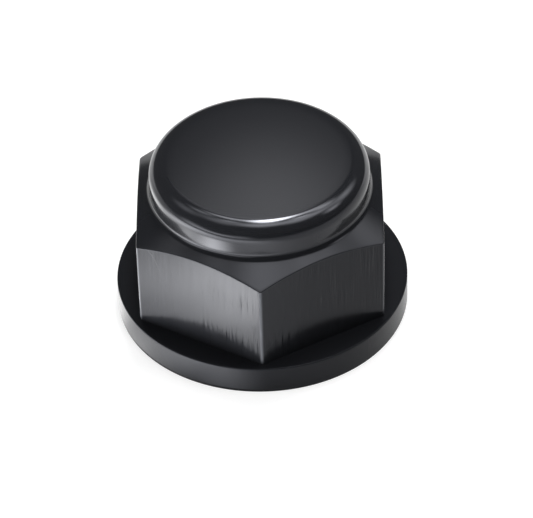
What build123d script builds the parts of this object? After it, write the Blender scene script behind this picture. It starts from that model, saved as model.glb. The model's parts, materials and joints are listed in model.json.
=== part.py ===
from build123d import *
from math import cos, radians, sqrt, tan
import os

# Closed, flanged axle nut: M16 x 1.5, 24 mm across flats, machined from one piece of aluminium.
#
# It stands on its bearing face, z = 0, with the thread's axis on Z and two corners of the hexagon
# on Y. All lengths are in millimetres and all angles in degrees.
#
# It is made as a shop makes it: the outside is turned, the six flats are milled down to the
# flange, and the blind hole is drilled, recessed and threaded from the bearing face.

# ---- Driving dimensions: the outside, from the bearing face up ----
flange_d = 29.0         # round bearing flange
flange_t = 3.0          # its thickness
across_flats = 24.0     # wrench size
hex_h = 11.0            # from the flange to where the chamfer reaches the cap
corner_land = 0.2       # width of the turned strip left on each corner of the hexagon
chamfer_angle = 30.0    # of the cone on top of the hexagon, measured from the horizontal
cap_d = 21.6            # the low round cap that closes the nut
cap_h = 3.6             # its height above the chamfer
cap_edge_r = 1.85       # rounding of the cap's top edge
cap_foot_r = 0.85       # hollow fillet between the cap and the chamfer
edge_break = 0.15       # chamfer on the flange's two rims

# ---- Driving dimensions: the blind threaded hole, from the bearing face ----
thread_d = 16.0         # nominal size
thread_pitch = 1.5      # fine pitch
mouth_margin = 0.5      # how much wider than the thread the countersink is, in radius
mouth_angle = 120.0     # full angle of the countersink
relief_margin = 0.3     # how much deeper than the thread its relief groove is, in radius
relief_w = 1.6          # width of that groove
point_angle = 140.0     # full angle of the drill point at the blind end
crown_t = 2.5           # metal left over the drill point

# ---- Worked out from those ----
flange_r = flange_d / 2
cap_r = cap_d / 2
shoulder_z = flange_t + hex_h
top_z = shoulder_z + cap_h

# The turned strip on a corner, seen from above, cuts a 120 degree corner short by land / 2 / tan(60).
flat_to_axis = across_flats / 2
corner_r = flat_to_axis / cos(radians(30)) - corner_land / 2 / tan(radians(60))
corner_z = shoulder_z - (corner_r - cap_r) * tan(radians(chamfer_angle))

# The plain bore is the thread's minor diameter, 5/4 of the sharp thread's height under the nominal.
bore_r = (thread_d - 1.25 * sqrt(3) / 2 * thread_pitch) / 2
mouth_r = thread_d / 2 + mouth_margin
mouth_z = (mouth_r - bore_r) / tan(radians(mouth_angle / 2))
relief_r = thread_d / 2 + relief_margin
point_z = top_z - crown_t
relief_top_z = point_z - bore_r / tan(radians(point_angle / 2))
relief_bottom_z = relief_top_z - relief_w


def turned(outline):
    """The solid that a lathe cuts from a half section drawn as (radius, height)."""
    return revolve(Plane.XZ * outline, axis=Axis.Z)


def corner_at(outline, radius, height):
    """The one corner of a half section that lies at this radius and height."""
    return outline.vertices().sort_by_distance((radius, height))[0]


def turned_outside():
    """Flange, hexagon blank, chamfer cone and rounded cap, before the flats are milled."""
    outline = make_face(Polyline(
        (0, 0),
        (flange_r, 0),
        (flange_r, flange_t),
        (corner_r, flange_t),
        (corner_r, corner_z),
        (cap_r, shoulder_z),
        (cap_r, top_z),
        (0, top_z),
        close=True,
    ))
    outline = fillet(corner_at(outline, cap_r, top_z), cap_edge_r)
    outline = fillet(corner_at(outline, cap_r, shoulder_z), cap_foot_r)
    for rim_z in (0, flange_t):
        outline = chamfer(corner_at(outline, flange_r, rim_z), edge_break)
    return turned(outline)


def milled_away():
    """All that stands outside the six flats, above the flange."""
    hexagon = RegularPolygon(flat_to_axis, 6, major_radius=False, rotation=30)
    return extrude(Pos(0, 0, flange_t) * (Circle(flange_r) - hexagon), top_z - flange_t)


def threaded_hole():
    """Countersunk mouth, bore at the minor diameter, relief groove and drill point."""
    return turned(make_face(Polyline(
        (0, 0),
        (mouth_r, 0),
        (bore_r, mouth_z),
        (bore_r, relief_bottom_z),
        (relief_r, relief_bottom_z),
        (relief_r, relief_top_z),
        (bore_r, relief_top_z),
        (0, point_z),
        close=True,
    )))


axle_nut = turned_outside() - milled_away() - threaded_hole()

os.makedirs("parts", exist_ok=True)
export_step(axle_nut, "parts/axle_nut.step")
print(f"axle_nut: {top_z:.2f} mm tall, bore radius {bore_r:.3f} mm, "
      f"plain wall z {mouth_z:.3f} to {relief_bottom_z:.3f} mm, corner top z {corner_z:.3f} mm")
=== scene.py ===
# %% [markdown]
# # A closed, flanged axle nut
#
# This lesson dresses one small machined part: an axle nut of black anodised aluminium. The CAD model
# gives its size and its place. Here it gets the surfaces that the eye needs: the rounded edges where
# light collects, the real thread in the hole, and a finish for each way in which it was cut.
#
# The first cell loads the CAD model. Its box is kept, because nothing made here may reach outside it.

# %% Load the frame
import json
import math

import bpy
import numpy as np
from mathutils import Matrix, Vector


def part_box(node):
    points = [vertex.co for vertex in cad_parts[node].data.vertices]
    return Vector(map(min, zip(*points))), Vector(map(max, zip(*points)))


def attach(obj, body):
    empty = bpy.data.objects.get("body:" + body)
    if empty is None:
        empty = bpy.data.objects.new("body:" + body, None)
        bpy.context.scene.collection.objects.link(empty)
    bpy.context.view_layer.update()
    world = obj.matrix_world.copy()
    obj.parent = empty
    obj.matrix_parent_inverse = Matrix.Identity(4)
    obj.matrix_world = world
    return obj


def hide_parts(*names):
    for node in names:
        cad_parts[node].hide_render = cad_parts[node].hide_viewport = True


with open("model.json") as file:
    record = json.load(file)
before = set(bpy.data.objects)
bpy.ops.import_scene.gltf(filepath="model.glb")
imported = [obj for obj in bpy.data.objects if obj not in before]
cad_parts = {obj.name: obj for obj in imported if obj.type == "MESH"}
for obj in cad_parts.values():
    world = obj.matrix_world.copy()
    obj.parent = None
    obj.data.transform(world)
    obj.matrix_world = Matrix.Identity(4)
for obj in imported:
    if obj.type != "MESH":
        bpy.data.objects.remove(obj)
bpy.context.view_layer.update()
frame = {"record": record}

low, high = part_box("axle_nut")
print("CAD box, mm:", [round(v * 1000, 3) for v in (*low, *high)])

# %% [markdown]
# ## Sizes
#
# The frame's origin is in the middle of the bearing face, and Z is the thread's axis. Two corners of
# the hexagon lie on Y. The outer sizes are read from the CAD box and the thread's sizes from the
# record. The others are the drawing's values, in millimetres, because a machinist thinks in them.
# Only the last step, which makes the mesh, turns them into metres.

# %% Sizes in millimetres
flange_r = high.x * 1000
top_z = high.z * 1000
flange_t = 3.0
flat_to_axis = 12.0
hexagon_h = 11.0
cap_r = 10.8
cap_edge_r = 1.85
cap_foot_r = 0.85
chamfer = math.radians(30)
shoulder_z = flange_t + hexagon_h
edge_break = 0.15

mounts = {m["name"]: m for m in frame["record"]["mounts"]}
bore_r = mounts["thread"]["dims"]["r_mm"]
print(f"flange {2 * flange_r:.1f} mm across, {top_z:.1f} mm tall, bore radius {bore_r:.3f} mm")

# %% [markdown]
# ## The grid
#
# The nut is one closed skin, so it is made as one grid: the columns stand around the axis and the rows
# run from the middle of the cap, over the outside, under the flange and up the hole. A lathe part
# would need nothing more. The hexagon is no lathe part, but seen from above it is still a radius for
# each angle, so the same columns carry it. That keeps every edge a line of the grid.
#
# Its corners aren't knife edges. Each flat ends in a small rounding, so columns are gathered there.

# %% Rounding of the corners
# The rounding's radius is the one that brings the corner to the CAD model's turned strip.
sector = math.radians(60)
half = sector / 2
corner_strip = 0.2
sharp_corner_r = flat_to_axis / math.cos(half)
corner_r = sharp_corner_r - corner_strip / 2 / math.tan(sector)
corner_rounding = (sharp_corner_r - corner_r) / (1 / math.cos(half) - 1)
rounding_centre = corner_r - corner_rounding
rounding_reach = math.atan2(corner_rounding * math.sin(half),
                            rounding_centre + corner_rounding * math.cos(half))
just_inside = 0.999 * rounding_reach
print(f"corners {corner_r:.3f} mm from the axis, rounded by {corner_rounding:.3f} mm")


# %% Radius of the hexagon at any angle
def angle_to_corner(angle):
    """How far each angle is from the nearest corner, in radians: half a sector at most."""
    return np.abs((angle - math.pi / 2 + half) % sector - half)


def hexagon_radius(angle):
    """Distance from the axis to the hexagon, for each angle in radians.

    With a for the angle to the nearest corner, the radius inside the rounding's reach is that of a
    small circle on the corner's line: c cos(a) + sqrt(r^2 - c^2 sin^2(a)). Elsewhere it is the
    flat's distance over the cosine of the angle to the flat's middle.
    """
    to_corner = angle_to_corner(angle)
    inside = np.clip(corner_rounding ** 2 - (rounding_centre * np.sin(to_corner)) ** 2, 0, None)
    on_rounding = rounding_centre * np.cos(to_corner) + np.sqrt(inside)
    on_flat = flat_to_axis / np.cos(half - to_corner)
    return np.where(to_corner < just_inside, on_rounding, on_flat)


# %% Columns around the axis
close_to_corner = rounding_reach * np.array([0, 0.25, 0.5, 0.75, 1.0, 1.3])
along_flat = np.linspace(close_to_corner[-1], half, 21)[1:]
half_sector = np.concatenate([close_to_corner, along_flat])
one_sector = np.concatenate([half_sector, sector - half_sector[-2:0:-1]])
azimuth = np.concatenate([math.radians(60 * k - 90) + one_sector for k in range(6)])
columns = len(azimuth)
hexagon_r = hexagon_radius(azimuth)
print(f"{columns} columns, hexagon radius {hexagon_r.min():.3f} to {hexagon_r.max():.3f} mm")

# %% [markdown]
# ## The outside, from the top down
#
# Each stretch of the outline is a few rows of points, written as radius and height. Straight stretches
# are shared out between two ends, round ones follow an arc, and the broken edges follow a short
# parabola. A row close to each broken edge holds the shading flat up to it.
#
# The cap was faced on a lathe and polished a little, which leaves its top very slightly crowned. Its
# rounded edge took most of the polishing, so the middle of that edge has a glossier finish.

# %% Rows of points
def at(radius, height):
    """One row: a point for each column. Radius and height are numbers, or have one for each column."""
    row = np.empty((columns, 2))
    row[:, 0] = radius
    row[:, 1] = height
    return row


def straight(start, end, shares):
    """Rows on the straight line from one row to another, each at a share of the way."""
    shares = np.asarray(shares, float)[:, None, None]
    return start + shares * (end - start)


def arc(centre, radius, first, last, steps):
    """Rows on a circle: centre + radius (cos t, sin t), with t in degrees, leaving out the first."""
    turn = np.radians(np.linspace(first, last, steps + 1)[1:])
    points = np.array(centre) + radius * np.stack([np.cos(turn), np.sin(turn)], axis=1)
    return np.repeat(points[:, None, :], columns, axis=1)


def broken_edge(start, corner, end, steps=5):
    """Rows on a parabola that the corner bends: (1-t)^2 start + 2 t (1-t) corner + t^2 end."""
    t = np.linspace(0, 1, steps + 1)[1:, None, None]
    return (1 - t) ** 2 * start + 2 * t * (1 - t) * corner + t ** 2 * end


def crowned(edge_radius, middle_height, drop, steps):
    """Rows on a shallow dome: the height falls with the square of the radius."""
    share = np.linspace(0, 1, steps + 1)[1:, None]
    points = np.stack([edge_radius * share, middle_height - drop * share ** 2], axis=2)
    return np.repeat(points, columns, axis=1)


# %% Cap
crown_slope = math.radians(0.6)
crown_edge_r = cap_r - cap_edge_r + cap_edge_r * math.sin(crown_slope)
crown_h = crown_edge_r * math.tan(crown_slope) / 2
edge_centre = (cap_r - cap_edge_r, top_z - crown_h - cap_edge_r * math.cos(crown_slope))
foot_centre = (cap_r + cap_foot_r,
               shoulder_z + cap_foot_r * (1 / math.cos(chamfer) - math.tan(chamfer)))
rounded_edge = arc(edge_centre, cap_edge_r, 90 - math.degrees(crown_slope), 0, 26)
# Of the edge's 26 rows, these between were polished most.
polish_from = 3
polish_to = 17
wall_top = at(cap_r, edge_centre[1])
wall_foot = at(cap_r, foot_centre[1])
cap_rows = [
    ("turned", crowned(crown_edge_r, top_z, crown_h, 12)),
    ("turned", rounded_edge[:polish_from]),
    ("burnished", rounded_edge[polish_from:polish_to]),
    ("turned", rounded_edge[polish_to:]),
    ("turned", straight(wall_top, wall_foot, [0.1, 0.5, 0.9, 1.0])),
    ("turned", arc(foot_centre, cap_foot_r, 180, 240, 12)),
]
print(f"crown {crown_h:.3f} mm high, cap foot at z {foot_centre[1]:.3f} mm")

# %% Chamfer and flats
down_the_cone = np.array([math.cos(chamfer), -math.sin(chamfer)])
cone_start = at(foot_centre[0] - cap_foot_r * math.sin(chamfer),
                foot_centre[1] - cap_foot_r * math.cos(chamfer))
arris = at(hexagon_r, shoulder_z - (hexagon_r - cap_r) * math.tan(chamfer))
arris_reach = 0.07
cone_end = arris - arris_reach * down_the_cone
flat_start = arris - np.array([0, arris_reach])
flat_foot = at(hexagon_r, flange_t)
hexagon_rows = [
    ("turned", straight(cone_start, cone_end, [0.1, 0.4, 0.7, 0.9, 1.0])),
    ("turned", broken_edge(cone_end, arris, flat_start)),
    ("milled", straight(flat_start, flat_foot, [0.01, 0.05, 0.35, 0.65, 0.95, 1.0])),
]
arris_z = arris[:, 1]
print(f"chamfer ends at z {arris_z.min():.3f} mm on the corners, {arris_z.max():.3f} mm on the flats")

# %% Flange
mouth_r = 8.5
flange_top_end = at(flange_r - edge_break, flange_t)
rim_start = at(flange_r, flange_t - edge_break)
rim_end = at(flange_r, edge_break)
face_start = at(flange_r - edge_break, 0)
flange_rows = [
    ("flange", straight(flat_foot, flange_top_end, [0.05, 0.35, 0.65, 0.92, 1.0])),
    ("flange", broken_edge(flange_top_end, at(flange_r, flange_t), rim_start)),
    ("flange", straight(rim_start, rim_end, [0.05, 0.5, 0.95, 1.0])),
    ("flange", broken_edge(rim_end, at(flange_r, 0), face_start)),
    ("faced", straight(face_start, at(mouth_r, 0), [0.03, 0.35, 0.7, 1.0])),
]
outside = cap_rows + hexagon_rows + flange_rows
print(sum(len(points) for _, points in outside), "rows on the outside")

# %% [markdown]
# ## The thread
#
# The hole has a fine M16 thread: a ridge that climbs 1.5 mm for each turn. Its rows climb with it, so
# that the crest and the root are lines of the grid and stay crisp. Row after row repeats each 1.5 mm,
# and after one turn a row arrives where the row one pitch above it began. That is how the seam closes.
#
# Rows that would pass an end of the thread are gathered into that end's ring, and faces that lose
# their area there are left out.

# %% Profile of the thread
pitch = 1.5
thread_r = 8.0
mouth_slope = math.tan(math.radians(60))
phases = np.array([0, 0.125, 0.25, 0.33, 0.41, 0.49, 0.5625, 0.625, 0.6875, 0.77, 0.85, 0.93])
turn_share = (azimuth - azimuth[0]) / (2 * math.pi)
head_start = 1.25


def thread_profile(share):
    """Radius at each share of the pitch: a flat crest at the bore, 60 degree flanks, a narrow root."""
    bends = [0, 0.25, 0.5625, 0.6875, 1.0]
    return np.interp(share % 1.0, bends, [bore_r, bore_r, thread_r, thread_r, bore_r])


def climbing_rows(bottom, top):
    """Rows that climb one pitch a turn: height = bottom + pitch (share + angle / full turn).

    The first row has a head start of more than a pitch below the bottom, so that each column has a
    row there. The radius is the thread's, or the countersunk mouth's where that is wider.
    """
    turns = math.ceil((top - bottom) / pitch) + 2
    share = (np.arange(turns)[:, None] + phases[None, :]).ravel() - head_start
    height = bottom + pitch * (share[:, None] + turn_share[None, :])
    radius = np.repeat(thread_profile(share)[:, None], columns, axis=1)
    radius = np.maximum(radius, mouth_r - height * mouth_slope)
    return np.stack([radius, height], axis=2)


print(f"thread {2 * thread_r:.0f} mm across, climbing {pitch} mm a turn, {len(phases)} rows to a turn")

# %% The hole above the thread
mouth_depth = (mouth_r - bore_r) / mouth_slope
thread_top = mouth_depth + mounts["thread"]["dims"]["length_mm"]
relief_depth = 0.3
relief_h = 1.6
drill_angle = math.radians(140)
relief_r = thread_r + relief_depth
relief_top = thread_top + relief_h
drill_point = relief_top + bore_r / math.tan(drill_angle / 2)
thread_end = at(thread_profile(thread_top / pitch - turn_share), thread_top)
thread = climbing_rows(0.0, thread_top)
hole_rows = [
    ("threaded", thread_end[None]),
    ("threaded", straight(thread_end, at(relief_r, thread_top), [0.5, 1.0])),
    ("threaded", straight(at(relief_r, thread_top), at(relief_r, relief_top), [0.06, 0.94, 1.0])),
    ("threaded", straight(at(relief_r, relief_top), at(bore_r, relief_top), [0.1, 0.9, 1.0])),
    ("threaded", straight(at(bore_r, relief_top), at(0, drill_point), [0.03, 0.25, 0.5, 0.75, 0.92])),
]
print(f"thread up to z {thread_top:.3f} mm in {len(thread)} rows, drill point at z {drill_point:.3f} mm")

# %% [markdown]
# ## One closed mesh
#
# The rows become points and the gaps between rows become faces. Each column is joined to the next, and
# the last to the first, so nothing is open. The two poles, in the middle of the cap and at the drill
# point, get one point each. Each face remembers the finish of its stretch.

# %% Number the points
outer = np.concatenate([points for _, points in outside])
inner = np.concatenate([points for _, points in hole_rows])
finish_names = ["turned", "milled", "flange", "faced", "threaded", "burnished"]


def finish_of_rows(stretches):
    """The finish of each row, which is that of the faces between it and the row before."""
    numbers = [finish_names.index(name) for name, _ in stretches]
    return np.repeat(numbers, [len(points) for _, points in stretches])


outer_index = 1 + np.arange(len(outer) * columns).reshape(-1, columns)
thread_index = 1 + outer_index[-1, -1] + np.arange(len(thread) * columns).reshape(-1, columns)
inner_index = 1 + thread_index[-1, -1] + np.arange(len(inner) * columns).reshape(-1, columns)
drill_pole = 1 + inner_index[-1, -1]
print("points before the ends of the thread are gathered:", drill_pole + 1)

# %% Gather the thread's rows into its end rings
# A point within a fiftieth of a pitch of an end counts as past it, which avoids slivers.
margin = 0.02 * pitch
below = thread[:, :, 1] < margin
above = thread[:, :, 1] > thread_top - margin
thread_index = np.where(below, outer_index[-1][None, :], thread_index)
thread_index = np.where(above, inner_index[0][None, :], thread_index)
after_a_turn = np.full(len(thread), inner_index[0, 0])
after_a_turn[:-len(phases)] = thread_index[len(phases):, 0]


# %% Faces between rows
def next_column(index):
    """The index of each point's neighbour around the axis, with the last column joined to the first."""
    return np.roll(index, -1, axis=1)


def faces_between(index, neighbour):
    """Four corners for each cell of the grid: two on this row and two on the next."""
    return np.stack([index[:-1], index[1:], neighbour[1:], neighbour[:-1]], axis=2).reshape(-1, 4)


thread_neighbour = np.concatenate([thread_index[:, 1:], after_a_turn[:, None]], axis=1)
quads = np.concatenate([
    faces_between(outer_index, next_column(outer_index)),
    faces_between(thread_index, thread_neighbour),
    faces_between(inner_index, next_column(inner_index)),
])
quad_finish = np.concatenate([
    np.repeat(finish_of_rows(outside)[1:], columns),
    np.full((len(thread) - 1) * columns, finish_names.index("threaded")),
    np.repeat(finish_of_rows(hole_rows)[1:], columns),
])
same = quads == np.roll(quads, -1, axis=1)
whole = quads[same.sum(1) == 0]
pinched = quads[same.sum(1) == 1]
pinched = pinched[~same[same.sum(1) == 1]].reshape(-1, 3)
fan_top = np.stack([np.zeros(columns, int), outer_index[0], np.roll(outer_index[0], -1)], axis=1)
drill_poles = np.full(columns, drill_pole)
fan_drill = np.stack([inner_index[-1], drill_poles, np.roll(inner_index[-1], -1)], axis=1)
print(len(whole), "faces with four corners,", len(pinched), "with three where the thread ends")

# %% [markdown]
# ## Where the edges are
#
# A fine pale line is painted along the sharp edges: a painted highlight, where light catches their
# small roundings. The material has to know where they are, so each point gets a share: 1 on the line
# where a flat meets the chamfer and on the six corners, and next to nothing where the rounding of that
# edge ends.

# %% Edge share of each point
# The share falls evenly from a little over 1, so that it is full in a narrow band along the line.
over_full = 1.1
off_arris = np.hypot(outer[:, :, 0] - hexagon_r, outer[:, :, 1] - arris[:, 1])
on_arris = np.clip(over_full - off_arris / arris_reach, 0, 1)
beside_flat = (outer[:, :, 1] > flange_t) & (outer[:, :, 1] < arris[:, 1])
near_corner = np.clip(over_full - angle_to_corner(azimuth) / rounding_reach, 0, 1)
on_corner = np.where(beside_flat, near_corner, 0)
edge = np.zeros(drill_pole + 1)
edge[outer_index] = np.maximum(on_arris, on_corner)
print("points on an edge:", int((edge > 0.5).sum()))

# %% Put it into Blender
radius_height = np.concatenate([outer.reshape(-1, 2), thread.reshape(-1, 2), inner.reshape(-1, 2)])
around = np.tile(azimuth, len(radius_height) // columns)
points = np.empty((len(radius_height) + 2, 3))
points[0] = (0, 0, top_z)
points[-1] = (0, 0, drill_point)
points[1:-1, 0] = radius_height[:, 0] * np.cos(around)
points[1:-1, 1] = radius_height[:, 0] * np.sin(around)
points[1:-1, 2] = radius_height[:, 1]

threes = np.concatenate([pinched, fan_top, fan_drill])
used = np.unique(np.concatenate([whole.ravel(), threes.ravel()]))
new_number = np.zeros(len(points), int)
new_number[used] = np.arange(len(used))
points = points[used]
whole = new_number[whole]
threes = new_number[threes]
finish = np.concatenate([
    quad_finish[same.sum(1) == 0],
    quad_finish[same.sum(1) == 1],
    np.full(columns, finish_names.index("turned")),
    np.full(columns, finish_names.index("threaded")),
])

sharp_over = math.radians(24)
skin = bpy.data.meshes.new("nut_skin")
skin.from_pydata((points / 1000).tolist(), [], whole.tolist() + threes.tolist())
skin.polygons.foreach_set("material_index", finish.astype(np.int32))
skin.polygons.foreach_set("use_smooth", np.ones(len(finish), bool))
highlight_share = skin.attributes.new("highlight_share", "FLOAT", "POINT")
highlight_share.data.foreach_set("value", edge[used].astype(np.float32))
skin.set_sharp_from_angle(angle=sharp_over)
skin.update()
nut = bpy.data.objects.new("nut", skin)
bpy.context.collection.objects.link(nut)
print("the nut has", len(skin.vertices), "points and", len(skin.polygons), "faces")

# %% Measure it
halves = np.concatenate([whole[:, [0, 1, 2]], whole[:, [0, 2, 3]], threes])
corners = points[halves]
volume = np.einsum("ij,ij->i", corners[:, 0], np.cross(corners[:, 1], corners[:, 2])).sum() / 6
print(f"{len(halves)} triangles, {volume:.0f} cubic mm (a positive volume means that faces point out)")

# %% [markdown]
# ## Lines along the flats
#
# The turned surfaces need no map: their tool marks are rings round the axis, and a radius and a height
# say where a ring is. A milled flat's marks run along the flat. So each flat gets a map in millimetres,
# across and up, with the six flats set apart so that no two look the same.

# %% A map of the flats, in millimetres
map_spacing = 40
corner_points = np.empty(len(skin.loops), np.int32)
skin.loops.foreach_get("vertex_index", corner_points)
sizes = np.empty(len(skin.polygons), np.int32)
skin.polygons.foreach_get("loop_total", sizes)
centres = np.empty(len(skin.polygons) * 3)
skin.polygons.foreach_get("center", centres)
centres = centres.reshape(-1, 3)
flat_number = np.round(np.degrees(np.arctan2(centres[:, 1], centres[:, 0])) / 60) % 6
flat_number = np.repeat(flat_number, sizes)
facing = np.radians(flat_number * 60)
place = points[corner_points]
across = -place[:, 0] * np.sin(facing) + place[:, 1] * np.cos(facing)
across_and_up = np.stack([across + map_spacing * flat_number, place[:, 2]], axis=1)
flat_map = skin.uv_layers.new(name="flat_mm")
flat_map.data.foreach_set("uv", across_and_up.astype(np.float32).ravel())
print("flats numbered", sorted(set(flat_number.tolist())))

# %% [markdown]
# ## Black anodised aluminium
#
# Anodising grows a hard, clear layer of oxide on the aluminium, a hundredth of a millimetre thick, and
# a black dye fills its pores. The eye never reaches the metal: it sees a black body under a clear skin,
# as with a glossy black paint. So the shader isn't metallic. Its colour is a near black with a faint
# blue cast, and the skin gives back one to three parts in a hundred of what stands in front of it, and
# much more at a grazing angle. The pores make that less than glass would give, so the specular level
# is under its usual half. Only where the skin was polished hard is it above.
#
# The layer follows each tool mark, so the finish of a surface is still that of the tool that cut it.
# All six finishes share one colour, apart from the painted highlight along the flats' edges. They
# differ in gloss, in roughness and in their lines.

# %% Helpers for materials
def linear(hex_colour):
    """A colour written as sRGB hex, such as 25272B, as the linear values that shaders use."""
    values = np.array([int(hex_colour[i:i + 2], 16) for i in (0, 2, 4)]) / 255
    values = np.where(values <= 0.04045, values / 12.92, ((values + 0.055) / 1.055) ** 2.4)
    return (*values.tolist(), 1.0)


def add(tree, kind, inputs=None, **settings):
    """Adds a node, sets its properties, and fills its inputs with values or other nodes' outputs."""
    made = tree.nodes.new(kind)
    for name, value in settings.items():
        setattr(made, name, value)
    for name, value in (inputs or {}).items():
        if isinstance(value, bpy.types.NodeSocket):
            tree.links.new(value, made.inputs[name])
        else:
            made.inputs[name].default_value = value
    return made


# %% The anodised skin
dyed_black = "1D1E21"
cool_white = "F3F5FF"


def anodised(name, roughness, gloss):
    """A material with only a Principled shader set up as the dyed oxide, and its node tree."""
    material = bpy.data.materials.new(name)
    material.use_nodes = True
    tree = material.node_tree
    tree.nodes.clear()
    shader = add(tree, "ShaderNodeBsdfPrincipled", {
        "Base Color": linear(dyed_black),
        "Metallic": 0.0,
        "IOR": 1.5,
        "Specular IOR Level": gloss,
        "Specular Tint": linear(cool_white),
        "Roughness": roughness,
    })
    add(tree, "ShaderNodeOutputMaterial", {"Surface": shader.outputs["BSDF"]})
    return material, tree, shader


# %% [markdown]
# ## Turned surfaces
#
# A lathe leaves one long groove that winds round the axis, and the eye reads it as rings. On a finished
# part they are finer than a tenth of a millimetre and can't be told apart. What is left of them is the
# way they smear a reflection across themselves, which the shader's anisotropy gives, and a little
# unevenness, which is drawn coarser than it is so that it can be seen at all.
#
# One number says where a ring is on every turned surface, level, sloping or upright: the distance from
# the axis less the height. So the same pattern serves the cap, the chamfer, the flange and the thread.

# %% Rings round the axis
# The shader turns its smear by a share of a full turn: this one lays it across the rings.
quarter_turn = 0.25
# A noise stays nearly always between these two values, and the roughness varies by this share.
noise_low = 0.3
noise_high = 0.7
unevenness = 0.1


def ring_position(tree):
    """Where a point lies along the outline, in mm: its distance from the axis less its height."""
    place = add(tree, "ShaderNodeTexCoord").outputs["Object"]
    level = add(tree, "ShaderNodeVectorMath", {0: place, 1: (1, 1, 0)}, operation="MULTIPLY")
    radius = add(tree, "ShaderNodeVectorMath", {0: level.outputs["Vector"]}, operation="LENGTH")
    height = add(tree, "ShaderNodeSeparateXYZ", {0: place}).outputs["Z"]
    along = add(tree, "ShaderNodeMath", {0: radius.outputs["Value"], 1: height}, operation="SUBTRACT")
    in_mm = add(tree, "ShaderNodeMath", {0: along.outputs[0], 1: 1000.0}, operation="MULTIPLY")
    return in_mm.outputs[0]


def turned(name, roughness, gloss, feed, depth, smear=0.0):
    """The skin as a lathe leaves it: rings a feed apart and a depth deep, in mm, of uneven strength."""
    material, tree, shader = anodised(name, roughness, gloss)
    along = ring_position(tree)
    rings = add(tree, "ShaderNodeTexNoise", {"W": along, "Scale": 1 / feed, "Detail": 2.0},
                noise_dimensions="1D")
    relief = add(tree, "ShaderNodeBump", {
        "Height": rings.outputs[0],
        "Distance": depth / 1000,
        "Strength": 1.0,
    })
    uneven = add(tree, "ShaderNodeMapRange", {
        "Value": rings.outputs[0],
        "From Min": noise_low, "From Max": noise_high,
        "To Min": roughness * (1 - unevenness), "To Max": roughness * (1 + unevenness),
    })
    tree.links.new(relief.outputs[0], shader.inputs["Normal"])
    tree.links.new(uneven.outputs[0], shader.inputs["Roughness"])
    around_axis = add(tree, "ShaderNodeTangent", direction_type="RADIAL", axis="Z")
    tree.links.new(around_axis.outputs[0], shader.inputs["Tangent"])
    shader.inputs["Anisotropic"].default_value = smear
    shader.inputs["Anisotropic Rotation"].default_value = quarter_turn
    return material


# %% Five turned finishes
# The cap was polished after turning: its reflections are nearly sharp.
cap_skin = turned("anodised_aluminium_turned_fine", 0.12, 0.33, feed=0.12, depth=0.0001, smear=0.2)
# Its rounded edge was polished most and has twice the gloss, so a lamp makes a white line on it.
edge_skin = turned("anodised_aluminium_burnished", 0.12, 0.66, feed=0.12, depth=0.0001, smear=0.2)
# The flange is as turned, so it shows soft shapes only.
flange_skin = turned("anodised_aluminium_turned", 0.24, 0.13, feed=0.15, depth=0.00025, smear=0.5)
# The bearing face was cut with a coarser feed, and nobody looks into the hole: both are duller.
face_skin = turned("anodised_aluminium_faced", 0.3, 0.22, feed=0.25, depth=0.0015)
thread_skin = turned("anodised_aluminium_threaded", 0.34, 0.22, feed=0.2, depth=0.001)
turned_skins = [cap_skin, edge_skin, flange_skin, face_skin, thread_skin]
print("turned finishes:", [skin_made.name for skin_made in turned_skins])

# %% [markdown]
# ## Milled flats
#
# A milling cutter came down each flat. It left upright streaks a few tenths of a millimetre apart,
# which show in some places and were rubbed away in others, and a faint round step where it stood still
# before it moved on. The streaks are a noise pulled long in the upright direction. A coarse noise, some
# four millimetres from patch to patch, says where they show.

# %% Streaks on the flats
# The streaks' scale is for each millimetre across and up the flat, and so is that of the patches.
streak_scale = (2.2, 0.16, 1)
patch_scale = 0.28
milled_skin, tree, shader = anodised("anodised_aluminium_milled", 0.18, 0.175)
flat_mm = add(tree, "ShaderNodeUVMap", uv_map="flat_mm").outputs[0]
pulled_long = add(tree, "ShaderNodeMapping", {"Vector": flat_mm, "Scale": streak_scale}).outputs[0]
streaks = add(tree, "ShaderNodeTexNoise", {"Vector": pulled_long, "Scale": 1.0, "Detail": 5.0},
              noise_dimensions="2D")
centred = add(tree, "ShaderNodeMath", {0: streaks.outputs[0], 1: 0.5}, operation="SUBTRACT")
patches = add(tree, "ShaderNodeTexNoise", {"Vector": flat_mm, "Scale": patch_scale, "Detail": 1.0},
              noise_dimensions="2D")
# Between these values of the coarse noise, a streak goes from a fifth of its height to nine tenths.
showing = add(tree, "ShaderNodeMapRange", {
    "Value": patches.outputs[0],
    "From Min": 0.38, "From Max": 0.7,
    "To Min": 0.2, "To Max": 0.9,
})
left_over = add(tree, "ShaderNodeMath", {0: centred.outputs[0], 1: showing.outputs[0]},
                operation="MULTIPLY")
print(f"streaks {streak_scale[0] / streak_scale[1]:.0f} times as long as they are wide")

# %% The cutter's round step
# The cutter's edge ran round a point beside the flat, in the flat's own millimetres. The step's height
# is a share of the relief's depth below. Wrapping brings each flat's map back to its own middle.
cutter_place = (-9.5, 9.0, 0)
cutter_radius = 5.3
step_width = 0.16
step_share = 0.14
flat_xy = add(tree, "ShaderNodeSeparateXYZ", {0: flat_mm})
across_mm = add(tree, "ShaderNodeMath", {
    0: flat_xy.outputs["X"],
    1: -map_spacing / 2,
    2: map_spacing / 2,
}, operation="WRAP")
on_flat = add(tree, "ShaderNodeCombineXYZ", {"X": across_mm.outputs[0], "Y": flat_xy.outputs["Y"]})
away = add(tree, "ShaderNodeVectorMath", {0: on_flat.outputs[0], 1: cutter_place}, operation="DISTANCE")
step = add(tree, "ShaderNodeMapRange", {
    "Value": away.outputs["Value"],
    "From Min": cutter_radius - step_width / 2, "From Max": cutter_radius + step_width / 2,
    "To Min": 0.0, "To Max": step_share,
}, interpolation_type="SMOOTHSTEP")
print(f"round step of {cutter_radius} mm radius, {step_width} mm wide")

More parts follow.
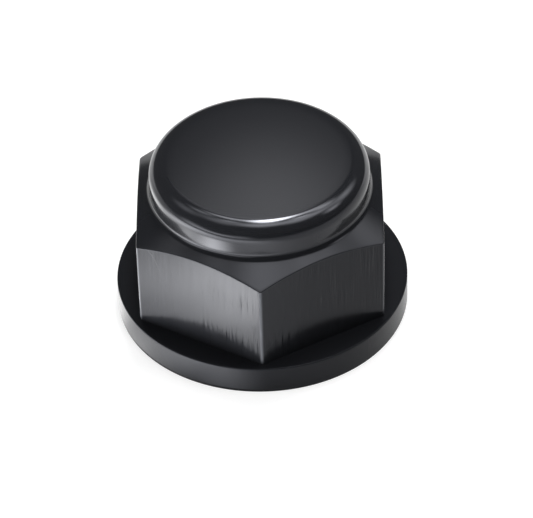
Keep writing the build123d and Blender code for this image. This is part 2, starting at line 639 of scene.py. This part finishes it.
# %% Relief and roughness of the flats
# The relief is drawn deeper than it is, so that it can be seen at this size.
relief_mm = 0.11
smoothest = 0.17
roughest = 0.23
height = add(tree, "ShaderNodeMath", {0: left_over.outputs[0], 1: step.outputs[0]}, operation="ADD")
relief = add(tree, "ShaderNodeBump", {
    "Height": height.outputs[0],
    "Distance": relief_mm / 1000,
    "Strength": 1.0,
})
uneven = add(tree, "ShaderNodeMapRange", {
    "Value": streaks.outputs[0],
    "From Min": noise_low, "From Max": noise_high,
    "To Min": smoothest, "To Max": roughest,
})
tree.links.new(relief.outputs[0], shader.inputs["Normal"])
tree.links.new(uneven.outputs[0], shader.inputs["Roughness"])
print(f"relief of {relief_mm} mm, roughness {smoothest} to {roughest}")

# %% Painted highlight on the edges
# A pale grey is painted into the flats' colour along the sharp edges, as a painted highlight.
# Pale grey of the painted highlight on the edges.
edge_highlight_grey = "626469"
share = add(tree, "ShaderNodeAttribute", attribute_name="highlight_share").outputs["Fac"]
# Painted highlight: the flats' black turns to pale grey where the share is full.
edge_highlight_colour = add(tree, "ShaderNodeMix", {
    "Factor": share,
    "A": linear(dyed_black),
    "B": linear(edge_highlight_grey),
}, data_type="RGBA")
tree.links.new(edge_highlight_colour.outputs["Result"], shader.inputs["Base Color"])
print("milled finish:", milled_skin.name, "with", len(tree.nodes), "nodes")

# %% Dress the nut
finishes = {
    "turned": cap_skin,
    "milled": milled_skin,
    "flange": flange_skin,
    "faced": face_skin,
    "threaded": thread_skin,
    "burnished": edge_skin,
}
for name in finish_names:
    skin.materials.append(finishes[name])
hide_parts("axle_nut")
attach(nut, "root")
print("slots on the nut:", [m.name for m in skin.materials])

# %% [markdown]
# ## Camera
#
# A corner of the hexagon points almost at the camera, which looks down on the nut from a third of a
# metre away through a long lens, so near and far edges keep nearly the same size. The camera leans by
# less than two degrees, as one held by hand does.

# %% Camera
camera_distance = 0.3355
camera_elevation = math.radians(41.25)
camera_azimuth = math.radians(-88.94)
camera_lean = math.radians(-1.67)
aim_height = 0.0046
aim_right = 0.00046
camera_place = camera_distance * Vector((
    math.cos(camera_elevation) * math.cos(camera_azimuth),
    math.cos(camera_elevation) * math.sin(camera_azimuth),
    math.sin(camera_elevation),
))
to_the_right = Vector((-math.sin(camera_azimuth), math.cos(camera_azimuth), 0))
aim = Vector((0, 0, aim_height)) + aim_right * to_the_right
camera = bpy.data.objects.new("camera", bpy.data.cameras.new("camera"))
camera.data.sensor_width = 36
camera.data.lens = 225.5
camera.data.clip_start = 0.01
camera.location = camera_place
upright = (aim - camera_place).to_track_quat("-Z", "Y").to_matrix()
camera.rotation_euler = (upright @ Matrix.Rotation(camera_lean, 3, "Z")).to_euler()
bpy.context.collection.objects.link(camera)
bpy.context.scene.camera = camera
print("camera at, mm:", [round(v * 1000, 1) for v in camera_place])

# %% [markdown]
# ## Floor and world
#
# The nut stands on white paper. The paper must look white without more light falling on the nut, so its
# material glows for the camera, and for reflections too, as a black gloss shows the paper round it. The
# nut's soft shadow still falls on the diffuse part. The glow is left out of the light that the paper
# sends out, or the nut would be lit strongly from below.

# %% Floor
# Half of its side, in metres.
reach = 5
floor_corners = [(-reach, -reach, 0), (reach, -reach, 0), (reach, reach, 0), (-reach, reach, 0)]
floor_mesh = bpy.data.meshes.new("floor")
floor_mesh.from_pydata(floor_corners, [], [(0, 1, 2, 3)])
floor = bpy.data.objects.new("floor", floor_mesh)
bpy.context.collection.objects.link(floor)
print("floor of", 2 * reach, "by", 2 * reach, "metres")

# %% White paper
paper_glow = 0.78
paper_grey = 0.36
paper = bpy.data.materials.new("white_paper")
paper.use_nodes = True
tree = paper.node_tree
tree.nodes.clear()
path = add(tree, "ShaderNodeLightPath")
seen = add(tree, "ShaderNodeMath", {0: path.outputs["Is Camera Ray"], 1: path.outputs["Is Glossy Ray"]},
           operation="MAXIMUM")
seen = add(tree, "ShaderNodeMath", {0: seen.outputs[0], 1: path.outputs["Is Transmission Ray"]},
           operation="MAXIMUM")
glow = add(tree, "ShaderNodeMath", {0: seen.outputs[0], 1: paper_glow}, operation="MULTIPLY")
lit = add(tree, "ShaderNodeBsdfDiffuse", {"Color": (paper_grey, paper_grey, paper_grey, 1)})
light = add(tree, "ShaderNodeEmission", {"Color": (1, 1, 1, 1), "Strength": glow.outputs[0]})
both = add(tree, "ShaderNodeAddShader", {0: lit.outputs[0], 1: light.outputs[0]})
add(tree, "ShaderNodeOutputMaterial", {"Surface": both.outputs[0]})
floor_mesh.materials.append(paper)
print("paper:", paper.name, "with", len(tree.nodes), "nodes")

# %% World
# A dim, even light that fills the shade. The Standard view transform keeps white paper white.
world_strength = 0.09
bpy.context.scene.view_settings.view_transform = "Standard"
world = bpy.data.worlds.new("studio")
bpy.context.scene.world = world
world.use_nodes = True
tree = world.node_tree
tree.nodes.clear()
sky = add(tree, "ShaderNodeBackground", {"Color": (1, 1, 1, 1), "Strength": world_strength})
add(tree, "ShaderNodeOutputWorld", {"Surface": sky.outputs[0]})
print("world:", world.name, "at", world_strength)

# %% [markdown]
# ## Lamps
#
# A black, glossy part is lit by what it mirrors. Its colour hardly counts, so each face is given
# something soft to show: a lamp that is bright in its middle and fades to nothing at its rim. Even
# lamps would print hard ovals on the cap.
#
# A face mirrors one direction only. The cap's top looks over the camera's head at what stands behind.
# The rounded edge sweeps from there to straight up and down to the front. The chamfer looks up. The
# flats, the cap's wall and the rim look down, at the table round the nut. So the lamps come in groups,
# one for each of these, and the numbers are the radiance in the middle of each lamp.

# %% A lamp that fades
top_of_cap = (0, 0, 17)


def softbox(name, place, width, height, radiance, target=top_of_cap):
    """An oval lamp in mm that faces a target and fades smoothly from its middle to its edge.

    The power is that of an even lamp with the radiance of the middle: radiance x pi x area.
    """
    data = bpy.data.lights.new(name, "AREA")
    data.shape = "ELLIPSE"
    data.size = width / 1000
    data.size_y = height / 1000
    data.energy = radiance * math.pi * math.pi * data.size * data.size_y / 4
    data.use_nodes = True
    tree = data.node_tree
    tree.nodes.clear()
    spot = add(tree, "ShaderNodeTexCoord").outputs["Object"]
    across = add(tree, "ShaderNodeVectorMath", {0: spot, 1: (2 / data.size, 2 / data.size_y, 0)},
                 operation="MULTIPLY")
    away = add(tree, "ShaderNodeVectorMath", {0: across.outputs["Vector"]}, operation="LENGTH")
    fade = add(tree, "ShaderNodeMapRange", {
        "Value": away.outputs["Value"],
        "To Min": 1.0, "To Max": 0.0,
    }, interpolation_type="SMOOTHSTEP")
    glow = add(tree, "ShaderNodeEmission", {"Strength": fade.outputs[0]})
    add(tree, "ShaderNodeOutputLight", {"Surface": glow.outputs[0]})
    lamp = bpy.data.objects.new(name, data)
    lamp.location = Vector(place) / 1000
    lamp.rotation_euler = (Vector(target) - Vector(place)).to_track_quat("-Z", "Y").to_euler()
    lamp.visible_camera = False
    bpy.context.collection.objects.link(lamp)
    print(f"{name}: {data.energy:.3f} W")


# %% Overhead and to the sides, for the chamfer
softbox("over_left", (-50, -20, 150), 110, 110, 1.55)
softbox("over_middle", (0, -34, 152), 90, 90, 3.6)
softbox("over_right", (50, -20, 154), 110, 110, 3.2)
softbox("left_back", (-199, 28, 231), 190, 190, 0.92)
softbox("right_back", (194, 95, 216), 190, 200, 2.2)
softbox("right_high", (118, 16, 206), 120, 110, 2.1)

# %% Behind, for the cap's top
softbox("behind_low", (0, 126, 130), 44, 44, 1.1)
softbox("behind", (0, 98, 132), 66, 80, 1.3)
softbox("behind_left", (-25, 104, 134), 50, 50, 0.85)
softbox("behind_high", (0, 92, 150), 76, 60, 1.85)

# %% High up, for the highlight on the cap's rounded edge
# One strong lamp makes the crisp white line. The weaker ones round it let the line trail off.
softbox("sparkle", (11, 60, 231), 76, 118, 40)
softbox("sparkle_near", (8, 14, 238), 68, 50, 6)
softbox("sparkle_right", (46, 80, 216), 70, 100, 5)
softbox("sparkle_right_near", (72, 20, 240), 56, 60, 4)
softbox("sparkle_left", (-34, 76, 220), 60, 100, 5)
softbox("sparkle_left_near", (-56, 6, 240), 56, 60, 2.3)
softbox("sparkle_far_right", (92, 74, 226), 90, 80, 4.2)
softbox("right_side", (200, -8, 186), 120, 110, 2.8)
softbox("sparkle_far_left", (-90, 66, 230), 76, 76, 2)

# %% Low at the left, for the top of the cap's wall
softbox("left_low", (-190, -100, 20), 170, 110, 4.6)
softbox("horizon_left", (-140, -165, 14), 200, 56, 6.4)
softbox("front_low", (-70, -200, 20), 150, 90, 2.8)

# %% On the table at the left and in front, for the flats, the wall and the rim
# They stand for paper in bright light and face up. Each lies a little higher than the last, because
# lamps in one plane hide each other in a reflection.
lift_step = 0.05
bright_paper = [
    # distance from the axis in mm, direction in degrees, diameter in mm, radiance
    (24.5, 230, 20, 13),
    (21.4, 246, 15, 6.9),
    (23.5, 208, 15, 4.6),
    (17, 190, 14, 2),
    (16.4, 232, 9, 2),
    (15.7, 216, 10, 2.7),
    (16.5, 256, 10, 2.4),
    (30, 280, 36, 0.7),
    (33, 166, 38, 2.8),
    (40, 195, 36, 3),
    (58, 212, 84, 9),
    (52, 255, 72, 3.9),
]
for number, (distance, direction, diameter, radiance) in enumerate(bright_paper):
    x = distance * math.cos(math.radians(direction))
    y = distance * math.sin(math.radians(direction))
    lift = lift_step * (number + 1)
    softbox(f"paper_{direction}", (x, y, lift), diameter, diameter, radiance, target=(x, y, 10))
